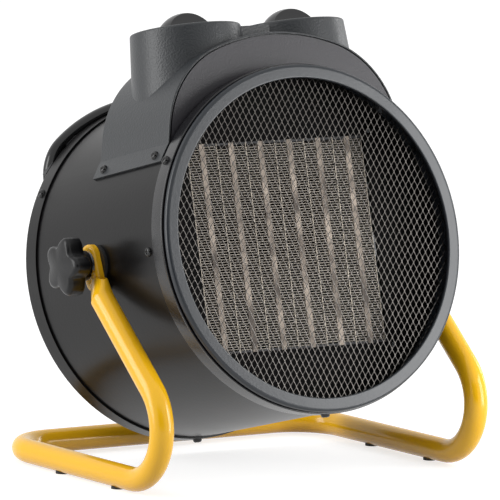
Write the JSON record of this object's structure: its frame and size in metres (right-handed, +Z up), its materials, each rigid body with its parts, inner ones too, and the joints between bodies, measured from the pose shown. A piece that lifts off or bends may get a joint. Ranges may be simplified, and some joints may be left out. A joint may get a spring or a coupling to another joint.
{
  "type": "forced air heater",
  "caption": "Round drum fan heater with a finned ceramic core behind a mesh, two top knobs, a rear carry handle and a bent tube stand that it tilts between.",
  "frame": {"origin": "on the floor, under the middle of the object", "axes": "-Y is the front, where the mesh faces; +X is to the right of someone facing the mesh; +Z is up"},
  "size_m": [0.2886, 0.24, 0.3042],
  "materials": {
    "casing_paint": "satin",
    "bezel_paint": "satin",
    "handle_paint": "gloss",
    "mesh_paint": "satin",
    "housing_plastic": "satin",
    "fascia_plastic": "satin",
    "knob_plastic": "satin",
    "star_knob_plastic": "satin",
    "stand_paint": "gloss",
    "pad_rubber": "matte",
    "screw_black": "gloss",
    "plated_steel": "bright",
    "baffle_steel": "satin",
    "fin_aluminium": "satin",
    "element_ceramic": "matte",
    "cap_plastic": "matte",
    "fan_aluminium": "satin",
    "motor_steel": "satin",
    "gland_plastic": "matte",
    "switch_plastic": "matte"
  },
  "bodies": {
    "stand": {"stand_tube": "stand_paint", "stand_pads": "pad_rubber"},
    "heater": {"drum_casing": "casing_paint", "front_bezel": "bezel_paint", "front_band": "bezel_paint", "front_band_screws": "screw_black", "mesh_spacer": "casing_paint", "front_mesh": "mesh_paint", "core_baffle": "baffle_steel", "baffle_screws": "screw_black", "ptc_bars": "element_ceramic", "ptc_fins": "fin_aluminium", "ptc_dividers": "fin_aluminium", "ptc_end_caps": "cap_plastic", "core_screws": "plated_steel", "thermal_cutout": "switch_plastic", "fan_shroud": "baffle_steel", "fan_motor": "motor_steel", "motor_bracket": "baffle_steel", "rear_cover": "bezel_paint", "rear_band_screws": "screw_black", "rear_grille": "casing_paint", "grille_screws": "screw_black", "cord_gland": "gland_plastic", "carry_handle": "handle_paint", "handle_lugs": "gland_plastic", "control_housing": "housing_plastic", "front_fascia": "fascia_plastic", "housing_screws": "screw_black", "rotary_switch": "switch_plastic", "room_thermostat": "plated_steel", "terminal_block": "switch_plastic", "left_pivot_boss": "gland_plastic", "right_pivot_boss": "gland_plastic", "left_pivot_nut": "plated_steel", "right_pivot_nut": "plated_steel"},
    "fan": {"fan_impeller": "fan_aluminium", "motor_shaft": "plated_steel"},
    "selector": {"selector_knob": "knob_plastic", "selector_spindle": "plated_steel"},
    "thermostat": {"thermostat_knob": "knob_plastic", "thermostat_spindle": "plated_steel"},
    "left_clamp": {"left_clamp_knob": "star_knob_plastic", "left_clamp_stud": "plated_steel", "left_clamp_washer": "plated_steel"},
    "right_clamp": {"right_clamp_knob": "star_knob_plastic", "right_clamp_stud": "plated_steel", "right_clamp_washer": "plated_steel"}
  },
  "joints": [
    {"name": "tilt", "type": "hinge", "parent": "stand", "child": "heater", "pos_m": [0, -0.00615, 0.1415], "axis": [1, 0, 0], "range_deg": [-7, 35]},
    {"name": "fan_spin", "type": "hinge", "parent": "heater", "child": "fan", "pos_m": [0, -0.0046, 0.14111], "axis": [0, 0.9703, -0.2419], "continuous": true},
    {"name": "selector_turn", "type": "hinge", "parent": "heater", "child": "selector", "pos_m": [-0.0413, 0.0023, 0.28286], "axis": [0, 0.2419, 0.9703], "range_deg": [-270, 0]},
    {"name": "thermostat_turn", "type": "hinge", "parent": "heater", "child": "thermostat", "pos_m": [0.0413, 0.0023, 0.28286], "axis": [0, 0.2419, 0.9703], "range_deg": [-270, 0]},
    {"name": "left_clamp_turn", "type": "hinge", "parent": "heater", "child": "left_clamp", "pos_m": [-0.1309, -0.00615, 0.1415], "axis": [-1, 0, 0], "range_deg": [0, 360]},
    {"name": "right_clamp_turn", "type": "hinge", "parent": "heater", "child": "right_clamp", "pos_m": [0.1309, -0.00615, 0.1415], "axis": [1, 0, 0], "range_deg": [0, 360]}
  ]
}
